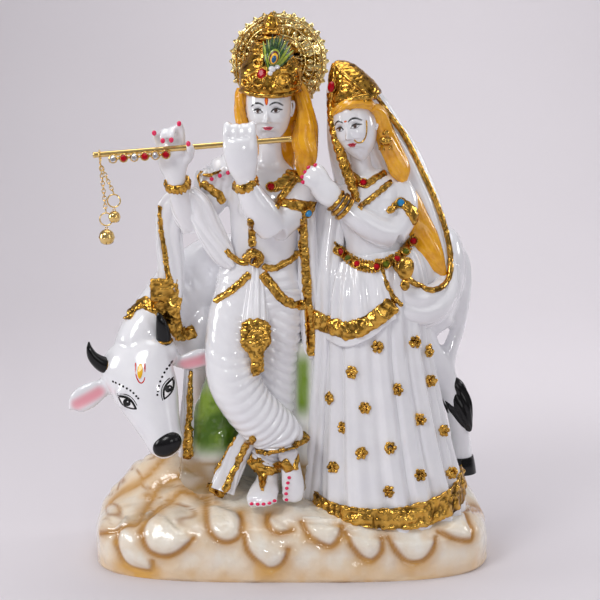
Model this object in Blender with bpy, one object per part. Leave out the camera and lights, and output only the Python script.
"""Flute-playing couple with their cow on a rock base: one painted cast figure group, with a metal flute,
a chain with two jingle bells, and glued stones.

Metres, +Z up, the front faces -Y. The origin lies on the flat underside, in the middle of the base.
The casting is free form: its places and sizes are shares of the statue's height, written in millimetres
as they measure at a height of 305 mm. The metal pieces and the stones have real sizes of their own.
"""

import math

import bmesh
import bpy
import numpy as np
from mathutils import Matrix, Vector
from mathutils.bvhtree import BVHTree

STATUE_HEIGHT = 0.305
SHARES = 305.0
SHARE = STATUE_HEIGHT / SHARES

BASE_WIDTH = 0.223
BASE_DEPTH = 0.102
BASE_HEIGHT = 0.034

FLUTE_LENGTH = 0.105
FLUTE_DIAMETER = 0.0032
FLUTE_CLEARANCE = 0.0003

CUP_PITCH = 0.0056
CUP_DIAMETER = 0.0050
CUP_THICKNESS = 0.0012
CUP_WAIST = 0.0018
CUP_COUNT = 6
FLUTE_STONE_DIAMETER = 0.0040
STONE_TABLE = 0.6
STONE_HEIGHT = 0.35
GAP = 0.0003

FLUTE_RING_DIAMETER = 0.0062
BELL_RING_DIAMETER = 0.0068
RING_WIRE = 0.0008
CHAIN_WIDTH = 0.0024
CHAIN_WIRE = 0.0010
LINK_PITCH = 0.0020
LARGE_BELL_DIAMETER = 0.0084
SMALL_BELL_DIAMETER = 0.0064
BELL_LOOP = 0.0012

CROWN_STONE = 0.0052
NECKLACE_STONE = 0.0040
ARMLET_STONE = 0.0044
BELT_STONE = 0.0038

VOXEL = 0.9 * SHARE
CASTING_TRIANGLES = 7450

FRONT = (0.0, -1.0, 0.0)
UP = (0.0, 0.0, 1.0)

WHITE = ("painted casting", (0.90, 0.90, 0.92), 0.08, 0.0)
GOLD = ("gold metal", (0.85, 0.62, 0.22), 0.25, 1.0)
RED = ("red stone", (0.55, 0.01, 0.03), 0.05, 0.0)
CLEAR = ("clear stone", (0.85, 0.87, 0.90), 0.03, 0.0)
GREEN = ("green stone", (0.16, 0.24, 0.04), 0.05, 0.0)
BLUE = ("blue stone", (0.02, 0.33, 0.62), 0.10, 0.0)


def clear_scene():
    """Removes what the startup scene holds."""
    for thing in list(bpy.data.objects):
        bpy.data.objects.remove(thing)


def material(look):
    """The Principled material of a look: name, colour, roughness, metallic."""
    name, colour, roughness, metallic = look
    made = bpy.data.materials.get(name)
    if made is None:
        made = bpy.data.materials.new(name)
        made.use_nodes = True
        shader = made.node_tree.nodes["Principled BSDF"]
        shader.inputs["Base Color"].default_value = (*colour, 1.0)
        shader.inputs["Roughness"].default_value = roughness
        shader.inputs["Metallic"].default_value = metallic
    return made


def object_from(name, bm, look, smooth=True):
    """An object made of a finished bmesh."""
    bmesh.ops.recalc_face_normals(bm, faces=bm.faces)
    mesh = bpy.data.meshes.new(name)
    bm.to_mesh(mesh)
    bm.free()
    if smooth:
        mesh.shade_smooth()
    mesh.materials.append(material(look))
    made = bpy.data.objects.new(name, mesh)
    bpy.context.scene.collection.objects.link(made)
    return made


def along_rows(rows, t):
    """The rows of a form read at t from 0 to 1, on a smooth curve through them."""
    rows = np.asarray(rows, float)
    last = len(rows) - 1
    place = np.clip(t, 0.0, 1.0) * last
    i = np.minimum(place.astype(int), last - 1)
    f = (place - i)[:, None]
    a, b = rows[np.maximum(i - 1, 0)], rows[i]
    c, d = rows[i + 1], rows[np.minimum(i + 2, last)]
    return 0.5 * (2 * b + (c - a) * f + (2 * a - 5 * b + 4 * c - d) * f**2 + (3 * b - a - 3 * c + d) * f**3)


def unit(vectors):
    """Each row as a unit vector."""
    return vectors / np.maximum(np.linalg.norm(vectors, axis=1, keepdims=True), 1e-9)


class Form:
    """A body swept along a line. Each row holds x, y, z, half width and half depth, in shares; the depth
    lies towards facing. u runs round the section: 0 side, 0.25 facing, 0.5 other side, 0.75 behind."""

    def __init__(self, rows, facing=FRONT, folds=None):
        self.rows = np.asarray(rows, float)
        if self.rows.shape[1] == 4:
            self.rows = np.hstack([self.rows, self.rows[:, 3:4]])
        self.facing = np.asarray(facing, float)
        self.folds = folds

    def frame(self, t):
        """Centre, side, depth direction, half width and half depth at each t."""
        row = along_rows(self.rows, t)
        step = 0.01
        run = unit(along_rows(self.rows, np.minimum(t + step, 1.0))[:, :3] - along_rows(self.rows, np.maximum(t - step, 0.0))[:, :3])
        depth = unit(self.facing - (run @ self.facing)[:, None] * run)
        side = np.cross(depth, run)
        return row[:, :3], side, depth, np.maximum(row[:, 3:4], 0.05), np.maximum(row[:, 4:5], 0.05)

    def points(self, u, t, lift=0.0):
        """The surface at u and t, lifted off along its normal, in metres."""
        u, t = np.atleast_1d(u).astype(float), np.atleast_1d(t).astype(float)
        centre, side, depth, half_width, half_depth = self.frame(t)
        c, s = np.cos(2 * np.pi * u)[:, None], np.sin(2 * np.pi * u)[:, None]
        out = unit(side * c / half_width + depth * s / half_depth)
        rise = np.full(len(u), float(lift)) if np.isscalar(lift) else np.asarray(lift, float)
        if self.folds is not None:
            rise = rise + self.folds(u, t)
        return (centre + side * half_width * c + depth * half_depth * s + out * rise[:, None]) * SHARE

    def place(self, u, t, lift=0.0):
        """One point of the surface with its outward normal, as two Vectors."""
        here = self.points([u], [t], lift)[0]
        out = self.points([u], [t], lift + 1.0)[0] - here
        return Vector(here), Vector(out).normalized()

    def mesh(self, around, along):
        """A closed bmesh of the whole form."""
        bm = bmesh.new()
        bmesh.ops.create_grid(bm, x_segments=around, y_segments=along, size=0.5)
        uv = np.array([v.co[:2] for v in bm.verts]) + 0.5
        for vert, place in zip(bm.verts, self.points(uv[:, 0], uv[:, 1])):
            vert.co = place
        bmesh.ops.remove_doubles(bm, verts=bm.verts, dist=1e-6)
        bmesh.ops.holes_fill(bm, edges=[e for e in bm.edges if e.is_boundary], sides=0)
        return bm

    def patch(self, u_span, t_span, inner, outer, around, along):
        """A closed bmesh of one stretch of the surface, from the inner lift to the outer lift. A span's
        end may be a function of the other direction, from 0 to 1."""
        bm = bmesh.new()
        bmesh.ops.create_grid(bm, x_segments=around, y_segments=along, size=0.5)
        flat = np.array([v.co[:2] for v in bm.verts]) + 0.5
        spans = [[end(flat[:, 0]) if callable(end) else end for end in span] for span in (u_span, t_span)]
        u = spans[0][0] + (spans[0][1] - spans[0][0]) * flat[:, 0]
        t = spans[1][0] + (spans[1][1] - spans[1][0]) * flat[:, 1]
        top = list(bm.verts)
        for vert, place in zip(top, self.points(u, t, outer)):
            vert.co = place
        rim = [e for e in bm.edges if e.is_boundary]
        under = bmesh.ops.duplicate(bm, geom=list(bm.verts) + list(bm.edges) + list(bm.faces))
        below = self.points(u, t, inner)
        paired = {v: under["vert_map"][v] for v in top}
        for vert, place in zip(top, below):
            paired[vert].co = place
        other_rim = [e for e in under["geom"] if isinstance(e, bmesh.types.BMEdge) and e.is_boundary]
        bmesh.ops.bridge_loops(bm, edges=rim + other_rim)
        return bm


def oval(centre, radii, tilt=0.0, turn=0.0):
    """A bmesh ball stretched to the radii, leaning sideways by tilt and turned about the upright by turn."""
    bm = bmesh.new()
    bmesh.ops.create_uvsphere(bm, u_segments=20, v_segments=14, radius=1.0)
    place = (
        Matrix.Translation(Vector(centre) * SHARE)
        @ Matrix.Rotation(turn, 4, "Z")
        @ Matrix.Rotation(tilt, 4, "Y")
        @ Matrix.Diagonal((*(r * SHARE for r in radii), 1.0))
    )
    bmesh.ops.transform(bm, matrix=place, verts=bm.verts)
    return bm


def pleats(count, top, bottom, wander=0.0):
    """Upright folds round a skirt: their height grows from top to bottom as t falls."""

    def rise(u, t):
        wave = np.cos(2 * np.pi * count * u + wander * np.sin(4 * np.pi * u))
        return (bottom + (top - bottom) * t) * wave

    return rise


def rolls(count, height, slant):
    """Folds that run round a limb, slanting down towards the front."""

    def rise(u, t):
        return height * np.sin(2 * np.pi * (count * t + slant * np.sin(2 * np.pi * u)))

    return rise


# The rock base

BASE_TOP = BASE_HEIGHT / SHARE
BASE_HALF_WIDTH = BASE_WIDTH / SHARE / 2
BASE_HALF_DEPTH = BASE_DEPTH / SHARE / 2
BASE_BELLY = 17.0
BASE_SQUARENESS = 0.42
BASE_BELOW = 5.0
ROCK_HUMPS = (
    (-80.0, 14.0, 26.0, 20.0, 20.0),
    (97.0, 26.0, 20.0, 18.0, 12.0),
    (-12.0, -16.0, 28.0, 20.0, 5.0),
    (20.0, 30.0, 60.0, 18.0, 14.0),
)
SCALLOPS = 11
SCALLOP_DEPTH = 1.6


def rock_height(x, y):
    """How high the rock stands at x and y, in shares."""
    height = np.full(x.shape, BASE_TOP)
    for at_x, at_y, reach_x, reach_y, rise in ROCK_HUMPS:
        height += rise * np.exp(-(((x - at_x) / reach_x) ** 2) - ((y - at_y) / reach_y) ** 2)
    return height


def rock_base():
    """The rock: a rounded oblong mound, fullest a little above the ground, with lobes along its edge."""
    bm = bmesh.new()
    bmesh.ops.create_grid(bm, x_segments=120, y_segments=40, size=0.5)
    flat = np.array([v.co[:2] for v in bm.verts]) + 0.5
    turn, climb = 2 * np.pi * flat[:, 0], np.pi * (flat[:, 1] - 0.5)
    level = np.sign(np.sin(climb)) * np.abs(np.sin(climb)) ** BASE_SQUARENESS
    reach = np.abs(np.cos(climb)) ** BASE_SQUARENESS
    lobes = np.abs(np.sin(SCALLOPS * turn)) ** 0.6 * SCALLOP_DEPTH * reach * (level > 0)
    corner = 0.62
    x = (BASE_HALF_WIDTH * reach - lobes) * np.sign(np.cos(turn)) * np.abs(np.cos(turn)) ** corner
    y = (BASE_HALF_DEPTH * reach - lobes) * np.sign(np.sin(turn)) * np.abs(np.sin(turn)) ** corner
    above = BASE_BELLY + (rock_height(x, y) - BASE_BELLY) * level
    below = BASE_BELLY + (BASE_BELLY + BASE_BELOW) * level
    z = np.where(level > 0, above, below)
    for vert, place in zip(bm.verts, np.stack([x, y, z], axis=1) * SHARE):
        vert.co = place
    bmesh.ops.remove_doubles(bm, verts=bm.verts, dist=1e-6)
    return bm


# The cow

COW_LATERAL = Vector((0.91, 0.0, 0.41)).normalized()

COW_BARREL = Form(
    [(-58, 21, 142, 8, 16), (-48, 24, 144, 16, 31), (-20, 27, 146, 20, 35), (20, 28, 146, 21, 36), (58, 28, 147, 20, 34), (80, 28, 150, 16, 31), (91, 28, 151, 9, 22), (95, 28, 151, 2, 8)],
    UP,
)
COW_NECK = Form([(-42, 22, 152, 17, 28), (-58, 15, 147, 16, 23), (-71, 7, 137, 15, 18), (-81, -1, 126, 14, 16), (-87, -7, 117, 12, 13)], UP)
COW_HEAD = Form(
    [(-89, -6, 124, 13, 6), (-87, -10, 117, 21, 10), (-84, -14, 108, 20, 12), (-80, -18, 98, 17.5, 12.5), (-75.5, -22, 87, 13, 11), (-71.5, -25.5, 77, 9.8, 9.5), (-68.5, -27, 69.5, 9.6, 8.5), (-66.5, -27, 64, 6, 5)],
    (-0.1, -1.0, -0.35),
)
COW_FORMS = (
    COW_BARREL,
    COW_NECK,
    COW_HEAD,
    Form([(80, 26, 138, 15, 17), (86, 25, 116, 10, 12), (90, 26, 96, 6.5, 8), (94, 26, 80, 5.2, 6), (97.5, 25, 62, 5.4, 5.6), (99, 24.5, 44, 6.6, 6.8)]),
    Form([(70, 36, 130, 14, 12), (74, 38, 104, 8, 8), (78, 39, 84, 5.5, 6), (79, 38, 40, 6, 6)]),
    Form([(-46, 20, 128, 12, 12), (-50, 16, 98, 7.5, 7.5), (-51, 15, 74, 5.8, 5.8), (-51, 14, 40, 6.4, 6.4)]),
    Form([(-36, 36, 128, 12, 11), (-38, 38, 98, 7.5, 7.5), (-39, 38, 40, 6, 6)]),
)
TAIL = Form(
    [(84.3, 30, 181.8, 5), (92.5, 30, 170.9, 4.9), (97.2, 30, 161.7, 4.7), (98.6, 30, 150, 4.4), (97.7, 30, 136, 4.1), (95.1, 30, 122.5, 4.1), (91.1, 28, 111.2, 4.5), (89.5, 27, 100.8, 4.7), (92.5, 26, 91.6, 4.2)]
)
TAIL_TUFT = Form([(91.5, 26, 94, 4.4, 4), (93.5, 25, 88, 6.6, 4.8), (96, 24, 79, 7.8, 5), (99.5, 23, 71, 5.6, 4), (103, 22, 64.6, 0.6, 0.6)])
HORNS = (
    Form([(-98.5, -9, 112, 5.2), (-103.5, -11, 112.5, 4.6), (-108.5, -13, 117, 3.2), (-110.5, -14, 122, 1.8), (-110.8, -14, 126, 0.4)]),
    Form([(-70.5, -12, 122, 5.2), (-70.3, -14.5, 128, 4.6), (-70.3, -16.5, 134, 3.4), (-71.5, -17.5, 139, 1.8), (-72.8, -17.5, 142.5, 0.4)]),
)
EARS = (
    Form([(-99, -9, 101, 3, 2.5), (-106, -10, 98, 6, 2.6), (-113, -11, 94, 7.4, 2.6), (-119, -11, 90, 6, 2.2), (-123.4, -11, 86.5, 0.8, 0.8)]),
    Form([(-64, -8, 113, 3, 2.5), (-58, -9, 113.5, 5, 2.6), (-52, -9, 115, 5.8, 2.6), (-46, -8, 116.5, 5, 2.2), (-41, -7, 118, 0.8, 0.8)]),
)
MANE_COLLAR = Form([(-88, 3, 145, 3, 2.2), (-82, -9, 143, 3, 2.2), (-72, -13, 139, 3.4, 2.4), (-60, -10, 136, 3, 2.2)])

# The flute player, standing with the right leg crossed over the left

PLAYER_TORSO = Form(
    [(-17, -8, 140, 22, 14), (-16.5, -8, 152, 23, 15), (-15.5, -8, 164, 21, 13.5), (-14.5, -9, 178, 18.5, 11.5), (-13.5, -9, 192, 19.5, 12), (-12.5, -8, 205, 21.5, 12.5), (-11.5, -6.5, 215, 20, 11), (-11, -5.5, 221, 12, 8), (-11, -6, 227, 6.8, 6.8), (-11.5, -8, 240, 6.2, 6.8)]
)
STANDING_LEG = Form(
    [(-8, -9, 156, 15.5, 13), (-6.5, -10, 134, 14.5, 12.5), (-5.5, -10, 110, 13, 12), (-8, -12, 86, 11.5, 10.5), (-11, -15, 68, 10.5, 9.5), (-12.5, -17, 57, 9.5, 9)],
    folds=rolls(7, 0.6, 0.45),
)
CROSSED_LEG = Form(
    [(-24, -9, 156, 16, 14), (-29, -13, 138, 16.5, 14.5), (-32, -18, 120, 15, 14), (-30.5, -23, 106, 14.5, 13.5), (-23, -26, 93, 13.8, 12.5), (-13, -27, 81.5, 13, 11.5), (-4, -26, 71.5, 12, 10.5)],
    folds=rolls(5, 0.6, 0.5),
)
FRONT_PLEAT = Form(
    [(-18.5, -19, 172, 3, 3), (-18.5, -20.5, 164, 4.2, 3.4), (-19, -23.5, 150, 6, 3.6), (-19.4, -26.5, 137, 7, 3.6), (-19.4, -28, 128, 5, 3)],
    folds=pleats(5, 0.3, 0.6),
)
KNOT = Form([(-24.5, -20.5, 173, 2, 2), (-20.5, -22.5, 177.5, 3, 2.6), (-16.5, -22.5, 174.5, 3, 2.8), (-19.5, -22.5, 169.5, 3, 2.8)])
FLOWER_ORNAMENT = Form([(-19.4, -28, 140, 4, 2), (-19.3, -29.5, 136, 8, 2.8), (-19.2, -30.5, 130, 7.6, 2.8), (-19, -31.5, 125, 4, 2.6), (-18.8, -32, 118, 3.4, 2.6), (-18.6, -32, 113, 0.6, 0.6)])
PLAYER_FORMS = (
    PLAYER_TORSO,
    STANDING_LEG,
    CROSSED_LEG,
    FRONT_PLEAT,
    KNOT,
    FLOWER_ORNAMENT,
    Form([(-31, -4, 216, 8.6), (-42, -5, 204, 8.2), (-53, -8, 190.5, 7.8)]),
    Form([(-53, -8, 190.5, 7.8), (-57, -14, 201, 7.2), (-60, -20, 211, 5.6), (-61, -23, 218, 5.0)]),
    Form([(9, -5, 212, 9.2), (3, -14, 201, 8.6), (-8.5, -25, 191.5, 8.8)]),
    Form([(-8.5, -25, 191.5, 8.8), (-16, -30, 202, 8.4), (-21.5, -33.5, 212, 6.6), (-23.5, -35, 219, 5.6)]),
    Form([(-23.5, -35, 219, 5.6, 5), (-25, -37, 226, 8, 4.6), (-26, -38, 234, 9.2, 4.6), (-26.3, -37.5, 240, 9.0, 4.2)]),
    Form([(-61, -23, 217, 5.0, 4.6), (-62, -24, 224, 7.6, 4.0), (-62.7, -24.5, 231, 8.4, 3.8), (-63, -24.5, 237, 7.8, 3.4)]),
    Form([(-12.8, -17, 60, 6.5, 7), (-12.8, -19, 52, 6.0, 7), (-13.5, -24, 47, 6.5, 5)]),
    Form([(-12.8, -18, 48, 6, 5.5), (-14.5, -28, 46, 8, 4.5), (-16, -36, 43, 9, 3.4), (-16.5, -40, 41, 7, 1.8)], UP),
    Form([(-2, -27, 68, 5.5, 5.5), (0, -28, 58, 5.5, 5), (1.2, -30, 49, 6.2, 3.6), (1.6, -31, 43, 5.5, 2.4)]),
)
THUMB_PADS = (
    Form([(-32.5, -32, 234, 3.2, 3), (-27, -31.5, 235.4, 4.4, 3.4), (-21, -32, 236.4, 3.4, 3)], FRONT),
    Form([(-66.5, -27.5, 231, 3, 2.2), (-61.5, -28, 233, 3.6, 2.6), (-57, -28, 234.4, 3, 2.4)], FRONT),
)
SHOULDER_FINGERS = tuple(
    Form([(x + 5, -1, z - 1, 2.2), (x + 2, -7, z + 1, 2.2), (x, -12, z - 0.4, 2.1), (x - 1.2, -15, z - 2, 1.5)]) for x, z in ((-41, 218.6), (-36.6, 220.4), (-32.2, 222))
)
FLUTE_HAND_FINGERS = tuple(
    Form([(x, -37, 238, 2.3), (x - 0.1, -38, 243, 2.3), (x, -35.5, 246.6 + rise, 2.2), (x + 0.2, -31, 246 + rise, 2.0), (x + 0.3, -28, 242.5, 1.7)])
    for x, rise in ((-33.0, 0.3), (-28.6, -0.5), (-24.2, -0.4), (-19.8, 0.6))
)
OPEN_HAND_FINGERS = (
    Form([(-69, -24.5, 234, 2.1), (-70.5, -26, 239, 2.0), (-71.6, -28.5, 242.5, 1.6)]),
    Form([(-65.8, -24.5, 236, 2.2), (-66, -27.5, 243, 2.1), (-66.6, -32.5, 241.5, 2.0), (-66.8, -33.6, 239, 1.5)]),
    Form([(-61.8, -24.5, 237, 2.2), (-61.8, -27.5, 244, 2.1), (-62.2, -32.5, 242, 2.0), (-62.3, -33.6, 239.4, 1.5)]),
    Form([(-57.6, -24.5, 235, 2.2), (-57.5, -26.5, 242, 2.1), (-58.4, -29, 247.5, 1.7)]),
    Form([(-56.5, -24, 226, 2.6), (-52.8, -28, 231, 2.4), (-52.6, -33, 235, 2.2), (-53.4, -34, 237.5, 1.6)]),
)
PLAYER_HAIR = (
    Form([(6.5, -8, 266, 5, 6), (10.5, -8, 254, 5.5, 6.5), (13.5, -9, 243, 6.2, 6.5), (12.5, -11, 232, 6.6, 6), (8.5, -13, 224, 4.5, 4)]),
    Form([(-25.5, -8, 264, 3.4, 5), (-26.6, -9, 254, 3.2, 5), (-25.5, -10, 244, 2.8, 4), (-24.5, -11, 238, 1.4, 2)]),
    Form([(-10, 0, 262, 16, 9), (-9, 2, 246, 17, 8), (-8, 2, 230, 15, 7), (-8, 2, 214, 10, 5)]),
)
SHAWL = (
    Form([(-60, -12, 207, 6, 3), (-65.5, -9, 198, 7, 2.6), (-66.5, -7.5, 184, 7, 2.6), (-65.5, -8, 168, 7, 2.6), (-66.5, -9, 152, 7, 2.8), (-68, -7, 136, 6.4, 2.6)]),
    Form([(-55, -17, 210, 4, 4), (-50, -17, 203, 6.4, 4), (-46, -17, 194, 7, 3.6), (-41.5, -17, 184, 7, 3.4), (-36, -17, 174.5, 6, 3.4), (-31, -17, 169, 3, 3)]),
    Form([(-57.5, -14, 208, 8, 6), (-54.5, -11, 197, 9.4, 7), (-52.5, -9, 188, 7, 6)]),
    Form([(-50, -10, 214, 5, 6), (-42, -6, 214, 9, 8), (-33, -3, 220, 10, 8), (-26, 0, 224, 8, 6)], (-0.5, -0.6, 0.6)),
    Form([(8.5, -11, 206, 4, 3), (9, -14, 190, 4.6, 3), (9.6, -15, 160, 4.6, 3.2), (9.8, -14, 136, 4.6, 3), (9.6, -13, 119, 4.2, 2.6)]),
    Form([(-22, -18, 76, 5, 3), (-29, -20, 64, 6, 2.6), (-35, -23, 52, 6.6, 2.4), (-38, -25, 44, 6.8, 2.2)]),
    Form([(-57, -5, 110, 1.8, 2), (-57.4, -8, 95, 2.6, 2), (-58, -11, 78, 3.6, 2), (-58.6, -13, 60, 3.8, 2)]),
)
CROWN = Form(
    [(-10.6, -10, 261.5, 14.5, 15), (-10.6, -10, 266, 16.4, 16), (-10.6, -9, 273, 16, 15), (-10.6, -8.5, 280, 13, 12.5), (-10.5, -8, 286, 8.6, 8.6), (-10.4, -8, 289, 6.4, 6.4), (-10.4, -8, 292, 8, 8), (-10.4, -8, 294.6, 5, 5), (-10.3, -8, 297.5, 5.2, 5.2), (-10.3, -8, 301, 3.4, 3.4), (-10.3, -8, 304.6, 0.4, 0.4)]
)
HALO_CENTRE = Vector((-6.2, 0.5, 277.8))
HALO_RADIUS = 24.6
HALO_THICKNESS = 2.2
HALO_STUDS = 30
HALO_STUD_RADIUS = 1.5

# The companion, leaning on the player's shoulder

COMPANION_SKIRT = Form(
    [(54.2, -8, 20, 43, 36), (54.2, -8, 38, 42, 34.5), (52, -8, 60, 38.5, 31.5), (49.5, -8, 91, 33.8, 27), (47.2, -9, 120, 30.4, 23), (47, -9, 145, 28.4, 20.5), (48.5, -8.5, 164, 25.5, 17.5), (47, -8, 176, 20, 14)],
    folds=pleats(17, 0.3, 1.3, 0.9),
)
COMPANION_TORSO = Form(
    [(47, -7.5, 168, 19, 13.5), (45, -8, 182, 15.5, 11.5), (43, -9, 196, 17.5, 12.8), (42, -7.5, 207, 19, 11.5), (40.5, -5.5, 215, 13.5, 8.5), (38.6, -6, 221, 6.4, 6.4), (36.8, -9, 234, 5.6, 6)]
)
COMPANION_FORMS = (
    COMPANION_SKIRT,
    COMPANION_TORSO,
    Form([(57, -5, 211, 8.4), (61, -8, 203, 8), (60, -12, 194, 7.8), (54, -16.5, 187, 8.6)]),
    Form([(54, -16.5, 187, 8.6), (47, -20, 189, 8), (38, -23, 194.5, 7.2), (29, -24.5, 201.5, 5.4), (25, -24.5, 205, 5)]),
    Form([(25, -24.5, 205, 5, 4.5), (20, -23.5, 209.5, 7, 3.8), (14.5, -21.5, 214.5, 7, 3.2), (9.5, -19, 219.5, 5.4, 2.6), (6, -17, 223, 2.4, 1.6)]),
    Form([(27, -3, 211, 8, 7), (22, -3, 198, 8.5, 8), (20.5, -6, 180, 9, 8), (20, -10, 160, 8, 8), (20, -12, 142, 7, 7)], folds=pleats(6, 0.8, 0.8)),
)
COMPANION_CROWN = Form([(36.5, -11, 255.5, 14, 14), (33, -10.5, 262, 13.2, 13), (29.5, -9, 268.5, 10.4, 10.5), (26, -7.5, 274, 7, 7), (23.5, -6.5, 277.6, 2.4, 2.4)])
VEIL = Form(
    [(51, 2, 150, 24, 16), (58, 3, 158, 29.5, 16), (61, 3, 168, 28.5, 15), (57, 4, 190, 27, 13), (51.5, 4, 207, 25.5, 12), (47, 4, 220, 24, 11.5), (41, 3, 235, 21, 11.5), (36, 1, 250, 17, 12), (31, -1, 262, 12.5, 11), (28, -3, 270, 8.5, 8), (24.5, -5, 277, 3, 3)]
)
VEIL_SWAG = Form([(51, -21, 163, 5, 4), (60, -20, 152, 10, 6), (70, -17, 147, 12, 8), (79, -12, 148.5, 11, 8), (85.5, -5, 155, 8, 7), (88, 0, 167, 4, 5)], (0.3, -1.0, 0.0))
VEIL_RIM = Form(
    [(54.8, -26, 172.3, 1.7), (60.3, -25.5, 165.5, 1.7), (68.2, -23, 159.5, 1.7), (75.5, -19, 156.4, 1.7), (83, -12.5, 157.4, 1.7), (86.8, -7, 162, 1.6), (87.4, -2, 173.3, 1.6), (84.2, 1, 188.2, 1.6), (78, 2, 204.6, 1.6), (70.1, 2, 221, 1.6), (61.6, 1, 237.7, 1.6), (51.5, -1, 251.6, 1.6), (40.4, -4, 265.4, 1.6), (29, -8, 274.8, 1.4)]
)
COMPANION_HAIR = (
    Form([(43, -20, 255, 2, 2.6), (47, -13, 251, 4, 5), (50, -9, 241, 5, 6), (54.5, -9, 230, 5.6, 5), (59, -10, 220, 5.4, 4), (61, -11, 214, 2, 2)]),
    Form([(21.8, -12, 262, 2.6, 4), (22.2, -14, 250, 2.8, 4), (24.6, -15.5, 237, 3, 4), (28.6, -17, 224.5, 3.2, 3.4), (32.8, -18.4, 213, 3, 3), (36, -19.5, 204, 1.6, 2)]),
    Form([(66, -6, 208, 2, 2.6), (68, -6, 196, 6, 4), (71.5, -6.5, 183, 8.4, 4.6), (78, -7, 171, 6, 4), (84, -6, 162, 2, 2.4)]),
)

# Raised gold edges, laid on the surface along front-view lines: points (x, z), half width, half height

EDGES = (
    (((-35, 178.5), (-31, 174), (-27, 171.5), (-22.5, 171.5)), 1.7, 1.4),
    (((-15, 170), (-11, 168.5), (-5.8, 169.4), (0.7, 172.5), (6, 177)), 1.8, 1.4),
    (((-41, 150), (-35, 154.3), (-28.5, 159.4), (-21.9, 166)), 1.9, 1.5),
    (((-15.4, 166), (-10.1, 159), (-3.1, 150.7), (4, 147.4), (9, 148)), 2.5, 1.5),
    (((-10.8, 212.4), (-5, 214), (1.5, 219.6), (5.5, 228)), 2.6, 1.2),
    (((-6.2, 204), (-1.5, 211.6), (3, 218), (6, 225)), 2.0, 1.2),
    (((-6, 204.4), (1.3, 203.8), (9.3, 201.5), (17, 199.8)), 2.8, 1.3),
    (((8, 198), (8.4, 184), (8.8, 172), (9.3, 150), (9.9, 130), (8.8, 120)), 2.4, 1.2),
    (((-70.4, 196), (-69.4, 184), (-67.5, 170), (-66.5, 160)), 1.6, 1.2),
    (((-47.5, 214), (-43, 210.5), (-38.5, 206.6), (-36.5, 203)), 2.0, 1.3),
    (((-56, 107), (-56.6, 86), (-57.2, 62)), 1.8, 1.2),
    (((-23.5, 81), (-30, 68), (-36, 54), (-40, 43)), 1.5, 1.1),
    (((30, 221.4), (35, 217), (39.3, 213.2), (44, 216), (49, 218.6)), 2.0, 1.2),
    (((57, 149.5), (55.2, 158), (51, 165)), 1.6, 1.2),
    (((52, 168), (58, 160), (66, 156.5), (75, 158.5), (81, 165), (83.6, 174)), 1.6, 1.3),
    (((25, 177.5), (33, 171.5), (41, 169.6), (50, 170.6), (58, 174), (66, 180)), 3.0, 1.4),
)
SHAWL_END = (((-68, 160), (-68.5, 148), (-69, 136)), 7.0, 2.2)
STUDS_AT = (
    (46.9, 127.4), (67.3, 128.7), (78, 122.5), (33.1, 113.2), (57.9, 103.9), (76.6, 105.8), (21.4, 96.8), (40.2, 93.7), (70.2, 86.3),
    (28.4, 81.3), (84, 77.9), (53.8, 72.8), (38.1, 69.1), (23.1, 59.2), (70.3, 57.2), (88.8, 54.1), (53.3, 48.8),
)
STUD_RADIUS = 2.9

# Places of the glued stones in the front view: x, z

CROWN_STONE_AT = ((-15, 272.9), (22.5, 265.5))
NECKLACE_STONE_AT = ((-10.6, 212.6), (39.0, 214.2))
ARMLET_STONE_AT = ((9.3, 198.6), (59.3, 203.3))
BELT_STONES_AT = (
    (26.6, 176.4), (31.0, 173.2), (35.8, 171.2), (40.8, 170.2), (46.0, 170.2), (51.4, 171.6), (56.6, 173.8), (61.8, 177.2), (66.4, 181.2),
)

# Bushes and rock behind the figures

THICKETS = (
    Form([(-46, -3, 40, 17, 13), (-44, -3, 66, 15, 12), (-41, -2, 86, 12.5, 10.5), (-38, 0, 104, 9, 8), (-36, 2, 114, 4, 5)]),
    Form([(9, -4, 40, 14, 12), (10, -6, 80, 8, 10), (10.5, -8, 100, 6, 8), (10.5, -9, 126, 6, 6)]),
    Form([(22, 28, 36, 80, 18), (20, 28, 60, 66, 17), (16, 28, 84, 56, 17), (16, 28, 116, 48, 16), (16, 28, 130, 30, 10)]),
)
FLUTE_END = Vector((-104.0, -30.0, 230.9))
FLUTE_RUN = Vector((104.3, 0.0, 8.5)).normalized()
STRIP_FROM_END = 10.6
RING_FROM_END = 3.6

PLAYER_HEAD = ((-11.6, -12.5, 253.5), (12.2, 13.5, 15.5), math.radians(-2.0), math.radians(-4.0))
COMPANION_HEAD = ((34.6, -12.5, 244.5), (11.2, 12.6, 15.5), math.radians(-10.0), math.radians(-22.0))
NOSES = (
    Form([(-12.0, -25.5, 255, 1.2, 1), (-12.1, -27.3, 250.6, 1.8, 1.8), (-12.1, -25.4, 248.4, 1.6, 1)]),
    Form([(30.6, -24.0, 246.5, 1.1, 1), (29.8, -25.8, 242.2, 1.7, 1.7), (30.2, -24.2, 240.2, 1.5, 1)]),
)


def ring_round(centre, axis, radius, wire, turns=16, sides=5):
    """A bmesh ring, in metres, from a circle of wire spun about the axis."""
    bm = bmesh.new()
    wire_circle = bmesh.ops.create_circle(bm, segments=sides, radius=wire / 2)["verts"]
    stand = Matrix.Translation((radius, 0, 0)) @ Matrix.Rotation(math.pi / 2, 4, "X")
    bmesh.ops.transform(bm, matrix=stand, verts=wire_circle)
    bmesh.ops.spin(
        bm, geom=bm.verts[:] + bm.edges[:], cent=(0, 0, 0), axis=(0, 0, 1),
        dvec=(0, 0, 0), angle=2 * math.pi, steps=turns, use_merge=True, use_duplicate=False,
    )
    bmesh.ops.remove_doubles(bm, verts=bm.verts, dist=1e-6)
    turn = Vector(axis).to_track_quat("Z", "Y").to_matrix().to_4x4()
    bmesh.ops.transform(bm, matrix=Matrix.Translation(centre) @ turn, verts=bm.verts)
    return bm


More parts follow.
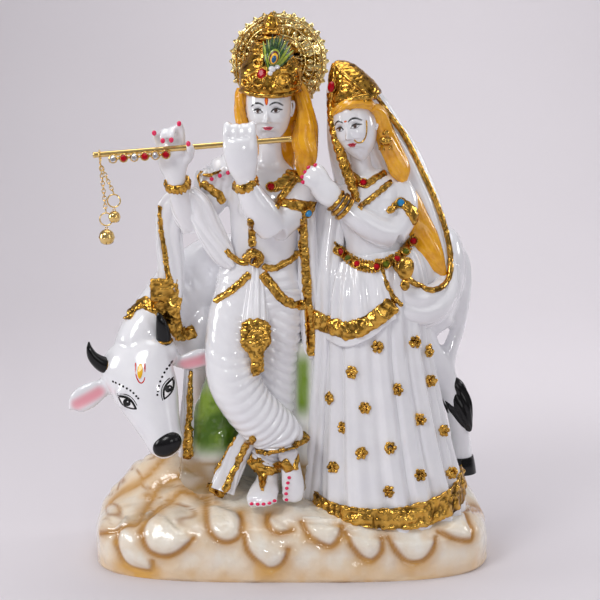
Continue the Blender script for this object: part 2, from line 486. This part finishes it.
def halo():
    """The gold disc behind the crown: a turned plate with a raised rim, and a row of studs round it."""
    parts = []
    plate = bmesh.new()
    bmesh.ops.create_cone(plate, cap_ends=True, segments=48, radius1=HALO_RADIUS * SHARE, radius2=(HALO_RADIUS - 1.0) * SHARE, depth=HALO_THICKNESS * SHARE)
    lie = Matrix.Translation(HALO_CENTRE * SHARE) @ Matrix.Rotation(math.pi / 2, 4, "X")
    bmesh.ops.transform(plate, matrix=lie, verts=plate.verts)
    parts.append(plate)
    for radius in (HALO_RADIUS - 1.5, HALO_RADIUS - 7.5):
        parts.append(ring_round((HALO_CENTRE + Vector((0, -1.2, 0))) * SHARE, FRONT, radius * SHARE, 2.2 * SHARE, 48))
    for i in range(HALO_STUDS):
        angle = 2 * math.pi * (i + 0.5) / HALO_STUDS
        spoke = Vector((math.sin(angle), 0, math.cos(angle)))
        root = HALO_CENTRE + spoke * (HALO_RADIUS - 1.0)
        tip = HALO_CENTRE + spoke * (HALO_RADIUS + 2.7)
        if root.z < 252.0:
            continue
        parts.append(Form([(*root, HALO_STUD_RADIUS), (*root.lerp(tip, 0.5), HALO_STUD_RADIUS * 1.1), (*tip, 0.4)]).mesh(8, 4))
    return parts


def bands():
    """The raised gold bands that show from a step away, as stretches of the forms that wear them."""
    hem = COMPANION_SKIRT.patch((0.02, 0.48), (0.135, 0.19), 0.0, 1.4, 60, 4)
    apron = COMPANION_SKIRT.patch((0.06, 0.35), (lambda s: 0.60 - 0.02 * np.sin(np.pi * s), 0.97), -1.0, 1.6, 40, 16)
    apron_band = COMPANION_SKIRT.patch(
        (0.06, 0.35), (lambda s: 0.60 - 0.02 * np.sin(np.pi * s), lambda s: 0.645 - 0.02 * np.sin(np.pi * s)), 0.0, 2.8, 40, 4
    )
    cuff = CROSSED_LEG.patch((0.0, 1.0), (0.94, 0.995), 0.0, 1.4, 30, 2)
    return [hem, apron, apron_band, cuff]


BRACELETS = (
    ((-60.3, -21, 214.5), (-0.15, -0.4, 1.0), 6.6, 3.0),
    ((-23.6, -34.6, 216.5), (-0.35, -0.25, 1.0), 6.6, 3.4),
    ((3.5, -14.5, 201), (0.6, 0.7, 0.75), 9.6, 3.0),
    ((27.5, -24.5, 203), (-0.75, -0.1, 0.6), 6.8, 6.0),
    ((60, -12, 195.5), (0.3, 0.4, 1.0), 8.8, 3.4),
    ((-12.8, -17.5, 57.5), (0, -0.2, 1.0), 8.6, 3.4),
)


def lump_of(parts):
    """One bmesh holding every bmesh of parts."""
    whole = bmesh.new()
    for part in parts:
        lump = bpy.data.meshes.new("lump")
        bmesh.ops.recalc_face_normals(part, faces=part.faces)
        part.to_mesh(lump)
        part.free()
        whole.from_mesh(lump)
        bpy.data.meshes.remove(lump)
    return whole


class Surface:
    """Finds places on a body as seen from the front."""

    def __init__(self, bm):
        self.tree = BVHTree.FromBMesh(bm)

    def at(self, x, z):
        """The frontmost place at x and z, in shares, and the normal there. Beside the outline it is the
        nearest place to a point in the middle depth."""
        spot, normal, _, _ = self.tree.ray_cast(Vector((x, -200.0, z)) * SHARE, Vector((0, 1, 0)))
        if spot is None:
            spot, normal, _, _ = self.tree.find_nearest(Vector((x, -20.0, z)) * SHARE)
        return spot / SHARE, normal

    def edge(self, points, half_width, half_height, steps=5):
        """A Form that lies on the surface along the points."""
        line = along_rows(points, np.linspace(0, 1, steps * (len(points) - 1) + 1))
        found = [self.at(x, z) for x, z in line]
        facing = sum((normal for _, normal in found), Vector()).normalized()
        rows = [(*spot, half_width, half_height) for spot, _ in found]
        for i in (0, -1):
            rows[i] = (*rows[i][:3], half_width * 0.7, half_height * 0.7)
        return Form(rows, facing)

    def seat(self, x, z, radius):
        """Where a flat back of the radius, in metres, rests on the highest spot under it: place and normal."""
        spot, _ = self.at(x, z)
        ring = [self.at(x + radius / SHARE * math.cos(a), z + radius / SHARE * math.sin(a))[0] for a in np.arange(8) * math.pi / 4]
        normal = sum(((ring[i] - spot).cross(ring[(i + 1) % 8] - spot) for i in range(8)), Vector()).normalized()
        normal = normal if normal.y < 0 else -normal
        place, side = spot * SHARE, normal.orthogonal().normalized()
        rise = 0.0
        for reach in (0.5, 1.0, 1.3):
            for a in np.arange(16) * math.pi / 8:
                over = place + Matrix.Rotation(a, 3, normal) @ side * radius * reach + normal * 0.01
                hit = self.tree.ray_cast(over, -normal)[0]
                if hit is not None:
                    rise = max(rise, (hit - place).dot(normal))
        return place + normal * (rise + GAP), normal


def evaluated(thing):
    """A bmesh of the object as its modifiers leave it, with the modifiers removed."""
    bpy.context.view_layer.update()
    graph = bpy.context.evaluated_depsgraph_get()
    bm = bmesh.new()
    bm.from_object(thing, graph)
    thing.modifiers.clear()
    return bm


def keep_outer_skin(bm):
    """Deletes the shells that a voxel skin leaves round pockets inside, and loose crumbs."""
    left = set(bm.verts)
    islands = []
    while left:
        reached = {left.pop()}
        edge = list(reached)
        while edge:
            vert = edge.pop()
            for link in vert.link_edges:
                other = link.other_vert(vert)
                if other in left:
                    left.remove(other)
                    reached.add(other)
                    edge.append(other)
        islands.append(reached)
    islands.sort(key=len)
    for island in islands[:-1]:
        bmesh.ops.delete(bm, geom=list(island), context="VERTS")


def flower_stud(spot, normal):
    """A low five-petalled boss on the skirt."""
    bm = bmesh.new()
    bmesh.ops.create_cone(bm, cap_ends=True, segments=10, radius1=STUD_RADIUS * SHARE, radius2=STUD_RADIUS * SHARE * 0.7, depth=2.6 * SHARE)
    turn = normal.to_track_quat("Z", "Y").to_matrix().to_4x4()
    bmesh.ops.transform(bm, matrix=Matrix.Translation(spot * SHARE) @ turn, verts=bm.verts)
    return bm


def body_parts():
    """Bodies, cloth, hair, crowns, animal and rock, as overlapping closed bmeshes."""
    parts = [rock_base()]
    for form in COW_FORMS:
        parts.append(form.mesh(32, 40))
    for form in (TAIL, TAIL_TUFT, *HORNS, *EARS, MANE_COLLAR, VEIL_RIM):
        parts.append(form.mesh(16, 32))
    for form in PLAYER_FORMS + SHAWL + PLAYER_HAIR + COMPANION_HAIR:
        parts.append(form.mesh(32, 48))
    for form in FLUTE_HAND_FINGERS + OPEN_HAND_FINGERS + NOSES + THUMB_PADS + SHOULDER_FINGERS:
        parts.append(form.mesh(10, 14))
    for form in COMPANION_FORMS + THICKETS + (CROWN, COMPANION_CROWN, VEIL, VEIL_SWAG):
        parts.append(form.mesh(110, 60))
    for centre, radii, tilt, turn in (PLAYER_HEAD, COMPANION_HEAD):
        parts.append(oval(centre, radii, tilt, turn))
    return parts


def ornament_parts(surface):
    """Gold edges, bands, bracelets, studs and the disc behind the crown."""
    parts = halo() + bands()
    for points, half_width, half_height in EDGES + (SHAWL_END,):
        parts.append(surface.edge(points, half_width, half_height).mesh(10, 30))
    for x, z in STUDS_AT:
        parts.append(flower_stud(*surface.at(x, z)))
    for centre, axis, radius, width in BRACELETS:
        parts.append(ring_round(Vector(centre) * SHARE, axis, (radius - 1.0) * SHARE, width * SHARE, 24, 8))
    return parts


def figure_group():
    """Every form of the casting joined under one skin, brought down to a few thousand faces, cut flat
    below and bored for the flute."""
    body = lump_of(body_parts())
    trimmed = lump_of([body.copy()] + ornament_parts(Surface(body)))
    body.free()
    group = object_from("statue_casting", trimmed, WHITE, False)
    skin = group.modifiers.new("skin", "REMESH")
    skin.mode = "VOXEL"
    skin.voxel_size = VOXEL
    ease = group.modifiers.new("ease", "SMOOTH")
    ease.factor = 0.5
    ease.iterations = 1
    bm = evaluated(group)
    keep_outer_skin(bm)
    bm.to_mesh(group.data)
    faces = 2 * len(bm.faces)
    bm.free()
    thin = group.modifiers.new("thin", "DECIMATE")
    thin.ratio = CASTING_TRIANGLES / faces
    bm = evaluated(group)
    whole = bm.verts[:] + bm.edges[:] + bm.faces[:]
    bmesh.ops.bisect_plane(bm, geom=whole, plane_co=(0, 0, 0), plane_no=(0, 0, -1), clear_outer=True)
    bmesh.ops.holes_fill(bm, edges=[e for e in bm.edges if e.is_boundary], sides=0)
    bmesh.ops.triangulate(bm, faces=bm.faces[:])
    bm.to_mesh(group.data)
    bm.free()
    bore = object_from("flute_bore", rod(FLUTE_DIAMETER + 2 * FLUTE_CLEARANCE), WHITE)
    bore.hide_render = True
    bore.display_type = "WIRE"
    cut = group.modifiers.new("bore", "BOOLEAN")
    cut.object = bore
    cut.solver = "EXACT"
    bm = evaluated(group)
    keep_outer_skin(bm)
    bmesh.ops.triangulate(bm, faces=bm.faces[:])
    bm.to_mesh(group.data)
    bm.free()
    bpy.data.objects.remove(bore)
    return group


def rod(diameter):
    """The flute's straight rod as a bmesh."""
    bm = bmesh.new()
    bmesh.ops.create_cone(bm, cap_ends=True, segments=16, radius1=diameter / 2, radius2=diameter / 2, depth=FLUTE_LENGTH)
    turn = FLUTE_RUN.to_track_quat("Z", "Y").to_matrix().to_4x4()
    middle = FLUTE_END * SHARE + FLUTE_RUN * FLUTE_LENGTH / 2
    bmesh.ops.transform(bm, matrix=Matrix.Translation(middle) @ turn, verts=bm.verts)
    return bm


def stone(name, place, normal, diameter, look, stretch=1.0):
    """A cut stone with a flat back at the place and a smaller flat table on top."""
    bm = bmesh.new()
    height = diameter * STONE_HEIGHT
    bmesh.ops.create_cone(bm, cap_ends=True, segments=8, radius1=diameter / 2, radius2=diameter / 2 * STONE_TABLE, depth=height)
    turn = normal.to_track_quat("Z", "Y").to_matrix().to_4x4() @ Matrix.Diagonal((1.0, stretch, 1.0, 1.0))
    bmesh.ops.transform(bm, matrix=Matrix.Translation(place + normal * height / 2) @ turn, verts=bm.verts)
    object_from(name, bm, look, False)


def flute_pieces():
    """The flute, its strip of cups with six stones, and the ring round its end."""
    object_from("flute", rod(FLUTE_DIAMETER), GOLD)
    front = Vector(FRONT)
    low = FLUTE_RUN.cross(front).normalized()
    low = low if low.z < 0 else -low
    ahead = FLUTE_DIAMETER / 2 + GAP + CUP_THICKNESS / 2
    start = (FLUTE_END + FLUTE_RUN * STRIP_FROM_END) * SHARE + front * ahead + low * (CUP_DIAMETER / 2)
    rows = []
    for i in range(CUP_COUNT):
        for offset, half in ((-0.36, 0.36), (-0.2, 0.46), (0.0, 0.5), (0.2, 0.46), (0.36, 0.36)):
            spot = (start + FLUTE_RUN * (CUP_PITCH * i + CUP_DIAMETER * offset)) / SHARE
            rows.append((*spot, CUP_DIAMETER * half / SHARE, CUP_THICKNESS / 2 / SHARE))
        if i < CUP_COUNT - 1:
            spot = (start + FLUTE_RUN * CUP_PITCH * (i + 0.5)) / SHARE
            rows.append((*spot, CUP_WAIST / 2 / SHARE, CUP_THICKNESS / 2 / SHARE))
    object_from("cup_strip", Form(rows).mesh(6, len(rows) - 1), GOLD)
    for i in range(CUP_COUNT):
        place = start + FLUTE_RUN * CUP_PITCH * i + front * (CUP_THICKNESS / 2 + GAP)
        stone(f"flute_stone_{i + 1}", place, front, FLUTE_STONE_DIAMETER, CLEAR if i % 2 == 0 else RED)
    ring_centre = (FLUTE_END + FLUTE_RUN * RING_FROM_END) * SHARE
    drop = FLUTE_RING_DIAMETER / 2 - RING_WIRE / 2 - FLUTE_DIAMETER / 2 - GAP
    ring_centre = ring_centre - Vector(UP) * drop
    object_from("flute_ring", ring_round(ring_centre, FLUTE_RUN, FLUTE_RING_DIAMETER / 2, RING_WIRE), GOLD)
    return ring_centre - Vector(UP) * (FLUTE_RING_DIAMETER / 2 + RING_WIRE / 2 + GAP)


def chain(name, top, bottom):
    """A small chain as one body: flat links, each turned a quarter against the last."""
    links = max(2, round((top - bottom).length / LINK_PITCH))
    rows = []
    for i in range(2 * links + 1):
        spot = top.lerp(bottom, i / (2 * links)) / SHARE
        wide = CHAIN_WIDTH / 2 / SHARE if i % 4 == 1 else CHAIN_WIRE / 2 / SHARE
        deep = CHAIN_WIDTH / 2 / SHARE if i % 4 == 3 else CHAIN_WIRE / 2 / SHARE
        rows.append((*spot, wide, deep))
    object_from(name, Form(rows).mesh(4, 2 * links), GOLD)


def bell(name, top, diameter):
    """A round jingle bell with its loop stub on top and a lip round its middle."""
    radius = diameter / 2
    profile = ((0.02, 0.0), (0.12, 0.02), (0.14, 0.1), (0.12, 0.16), (0.5, 0.22), (0.86, 0.4), (0.98, 0.56), (1.0, 0.6), (0.98, 0.64), (0.8, 0.84), (0.45, 0.97), (0.05, 1.0))
    tall = diameter + BELL_LOOP
    rows = [(*((top - Vector(UP) * tall * down) / SHARE), radius * out / SHARE) for out, down in profile]
    object_from(name, Form(rows).mesh(9, len(rows) - 1), GOLD)


def hanging_pieces(hook):
    """Two chains below the flute's ring, each with a jump ring and a bell."""
    down = Vector(UP)
    for size, top, bottom, diameter in (
        ("short", Vector((0.0, -1.5, 0)), Vector((-93.2, -33.4, 211.2)), SMALL_BELL_DIAMETER),
        ("long", Vector((0.0, 1.5, 0)), Vector((-98.0, -28.9, 200.6)), LARGE_BELL_DIAMETER),
    ):
        foot = bottom * SHARE
        chain(f"chain_{size}", hook + top * SHARE, foot)
        ring = foot - down * (GAP + RING_WIRE / 2 + BELL_RING_DIAMETER / 2)
        object_from(f"bell_ring_{size}", ring_round(ring, FRONT, BELL_RING_DIAMETER / 2, RING_WIRE), GOLD)
        bell(f"bell_{size}", ring - down * (BELL_RING_DIAMETER / 2 + RING_WIRE / 2 + GAP), diameter)


def glued_stones(group):
    """The stones glued on crowns, necklaces, armlets and belt."""
    bm = bmesh.new()
    bm.from_mesh(group.data)
    surface = Surface(bm)
    bm.free()
    for who, crown, neck, arm in zip(("player", "companion"), CROWN_STONE_AT, NECKLACE_STONE_AT, ARMLET_STONE_AT):
        stone(f"{who}_crown_stone", *surface.seat(*crown, CROWN_STONE / 2), CROWN_STONE, RED, 1.25)
        stone(f"{who}_necklace_stone", *surface.seat(*neck, NECKLACE_STONE / 2), NECKLACE_STONE, RED)
        stone(f"{who}_armlet_stone", *surface.seat(*arm, ARMLET_STONE / 2), ARMLET_STONE, BLUE)
    for i, (x, z) in enumerate(BELT_STONES_AT):
        stone(f"belt_stone_{i + 1}", *surface.seat(x, z, BELT_STONE / 2), BELT_STONE, RED if i % 2 == 0 else GREEN)


def main():
    """Builds every piece."""
    clear_scene()
    group = figure_group()
    hanging_pieces(flute_pieces())
    glued_stones(group)


main()
